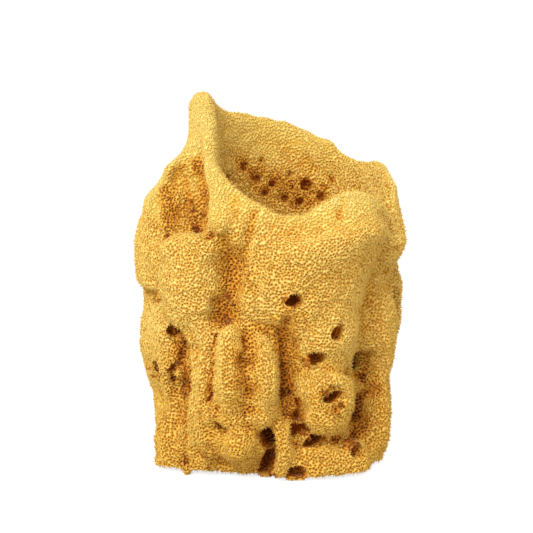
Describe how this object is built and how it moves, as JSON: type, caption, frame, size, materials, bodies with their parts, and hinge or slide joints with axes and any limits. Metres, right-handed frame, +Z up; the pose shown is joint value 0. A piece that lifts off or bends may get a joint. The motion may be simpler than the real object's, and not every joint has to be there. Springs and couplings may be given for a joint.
{
  "type": "sea sponge",
  "caption": "Natural sea sponge grown as an upright vase, with a deep cup, an uneven rolled lip, lobed and ridged sides, open channels and a flat cut base.",
  "frame": {"origin": "on the flat cut base, under the middle of the sponge's bounding box", "axes": "+Z up out of the cup, -Y the front with the low part of the lip, +X to the right seen from the front, the tall peak of the lip on the -X side"},
  "size_m": [0.112, 0.1082, 0.1501],
  "materials": {
    "sponge": "dry fibrous skeleton, matt golden yellow, darker orange brown in the pores"
  },
  "bodies": {
    "root": {"sponge": "sponge"}
  },
  "joints": []
}
